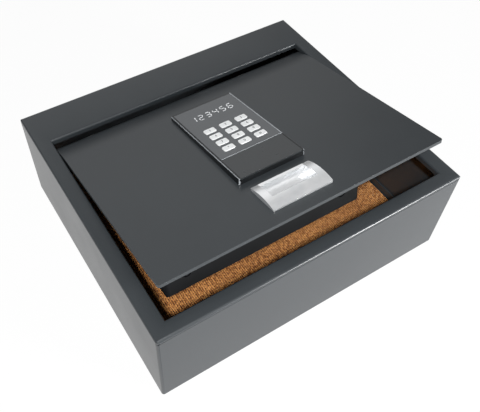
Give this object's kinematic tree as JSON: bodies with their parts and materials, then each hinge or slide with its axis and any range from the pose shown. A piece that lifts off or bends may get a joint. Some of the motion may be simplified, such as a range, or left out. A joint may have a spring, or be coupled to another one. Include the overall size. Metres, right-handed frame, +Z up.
{
  "type": "top-loading safe",
  "caption": "Low drawer safe whose friction-hinged lid tilts up, with a keypad, chrome finger pull, motor-driven bolts and a key override under a sliding cover.",
  "frame": {"origin": "centre of the underside of the case, on the surface it rests on", "axes": "+X across the width, to the right when facing the front; -Y towards the front, where the lid opens; +Z up"},
  "size_m": [0.4, 0.35, 0.1728],
  "materials": {
    "case_paint": "satin powder coat, charcoal",
    "lid_paint": "satin powder coat, charcoal",
    "cover_paint": "matt black powder coat",
    "carpet": "ribbed needle-felt carpet, rust brown",
    "chrome": "polished",
    "zinc_steel": "bright zinc plate",
    "brass": "machined",
    "black_plastic": "fine texture",
    "fascia_plastic": "smooth, dark grey",
    "key_plastic": "white, printed figure",
    "nylon": "natural",
    "circuit_board": "solder mask",
    "cell_wrap": "shrink sleeve"
  },
  "bodies": {
    "case": {"body_wrap": "case_paint", "front_panel": "case_paint", "rear_panel": "case_paint", "base_plate": "case_paint", "floor_mat": "carpet", "keeper_rail": "cover_paint", "hinge_bracket_right": "cover_paint", "hinge_pin_right": "zinc_steel", "friction_washer_right": "nylon", "spring_washer_right": "zinc_steel", "hinge_nut_right": "zinc_steel", "hinge_bracket_left": "cover_paint", "hinge_pin_left": "zinc_steel", "friction_washer_left": "nylon", "spring_washer_left": "zinc_steel", "hinge_nut_left": "zinc_steel"},
    "lid": {"lid_plate": "lid_paint", "hinge_ear_right": "cover_paint", "hinge_ear_left": "cover_paint", "finger_pull": "chrome", "lock_cover": "cover_paint", "gear_motor": "zinc_steel", "motor_bracket": "zinc_steel", "control_board": "circuit_board", "battery_tray": "black_plastic", "battery_door": "cover_paint", "display_module": "black_plastic", "lock_barrel": "chrome", "bolt_guide_left": "nylon", "bolt_guide_right": "nylon", "power_contact_left": "brass", "power_contact_right": "brass", "battery_cell_1": "cell_wrap", "battery_cell_2": "cell_wrap", "battery_cell_3": "cell_wrap", "battery_cell_4": "cell_wrap", "keypad_housing": "black_plastic", "keypad_fascia": "fascia_plastic", "keypad_board": "circuit_board"},
    "bolt_work": {"bolt_bar": "zinc_steel", "lock_bolt_left": "chrome", "lock_bolt_right": "chrome"},
    "motor_drive": {"drive_pinion": "brass", "output_shaft": "zinc_steel"},
    "override_lock": {"lock_plug": "brass", "lock_cam": "zinc_steel"},
    "override_slide": {"override_cover": "fascia_plastic"},
    "button_1": {"key_1": "key_plastic"},
    "button_2": {"key_2": "key_plastic"},
    "button_3": {"key_3": "key_plastic"},
    "button_4": {"key_4": "key_plastic"},
    "button_5": {"key_5": "key_plastic"},
    "button_6": {"key_6": "key_plastic"},
    "button_7": {"key_7": "key_plastic"},
    "button_8": {"key_8": "key_plastic"},
    "button_9": {"key_9": "key_plastic"},
    "button_star": {"key_star": "key_plastic"},
    "button_0": {"key_0": "key_plastic"},
    "button_hash": {"key_hash": "key_plastic"}
  },
  "joints": [
    {"name": "lid_hinge", "type": "hinge", "parent": "case", "child": "lid", "pos_m": [0, 0.0912, 0.0996], "axis": [-1, 0, 0], "range_deg": [-10.8, 72]},
    {"name": "bolt_slide", "type": "slide", "parent": "lid", "child": "bolt_work", "axis": [0, -0.9823, 0.1874], "range_m": [0, 0.022]},
    {"name": "pinion_spin", "type": "hinge", "parent": "lid", "child": "motor_drive", "pos_m": [-0.047, -0.07689, 0.13207], "axis": [0, 0.1874, 0.9823], "range_deg": [-1, 142]},
    {"name": "key_turn", "type": "hinge", "parent": "lid", "child": "override_lock", "pos_m": [0, -0.05689, 0.14353], "axis": [0, 0.1874, 0.9823], "range_deg": [-90, 0]},
    {"name": "override_cover_slide", "type": "slide", "parent": "lid", "child": "override_slide", "axis": [0, -0.9777, 0.21], "range_m": [0, 0.03]},
    {"name": "press_1", "type": "slide", "parent": "lid", "child": "button_1", "axis": [0, -0.21, -0.9777], "range_m": [0, 0.0008], "stiffness_N_per_m": 300},
    {"name": "press_2", "type": "slide", "parent": "lid", "child": "button_2", "axis": [0, -0.21, -0.9777], "range_m": [0, 0.0008], "stiffness_N_per_m": 300},
    {"name": "press_3", "type": "slide", "parent": "lid", "child": "button_3", "axis": [0, -0.21, -0.9777], "range_m": [0, 0.0008], "stiffness_N_per_m": 300},
    {"name": "press_4", "type": "slide", "parent": "lid", "child": "button_4", "axis": [0, -0.21, -0.9777], "range_m": [0, 0.0008], "stiffness_N_per_m": 300},
    {"name": "press_5", "type": "slide", "parent": "lid", "child": "button_5", "axis": [0, -0.21, -0.9777], "range_m": [0, 0.0008], "stiffness_N_per_m": 300},
    {"name": "press_6", "type": "slide", "parent": "lid", "child": "button_6", "axis": [0, -0.21, -0.9777], "range_m": [0, 0.0008], "stiffness_N_per_m": 300},
    {"name": "press_7", "type": "slide", "parent": "lid", "child": "button_7", "axis": [0, -0.21, -0.9777], "range_m": [0, 0.0008], "stiffness_N_per_m": 300},
    {"name": "press_8", "type": "slide", "parent": "lid", "child": "button_8", "axis": [0, -0.21, -0.9777], "range_m": [0, 0.0008], "stiffness_N_per_m": 300},
    {"name": "press_9", "type": "slide", "parent": "lid", "child": "button_9", "axis": [0, -0.21, -0.9777], "range_m": [0, 0.0008], "stiffness_N_per_m": 300},
    {"name": "press_star", "type": "slide", "parent": "lid", "child": "button_star", "axis": [0, -0.21, -0.9777], "range_m": [0, 0.0008], "stiffness_N_per_m": 300},
    {"name": "press_0", "type": "slide", "parent": "lid", "child": "button_0", "axis": [0, -0.21, -0.9777], "range_m": [0, 0.0008], "stiffness_N_per_m": 300},
    {"name": "press_hash", "type": "slide", "parent": "lid", "child": "button_hash", "axis": [0, -0.21, -0.9777], "range_m": [0, 0.0008], "stiffness_N_per_m": 300}
  ],
  "couplings": [
    {"joint": "pinion_spin", "follows": "bolt_slide", "rad_per_m": 111.11}
  ]
}
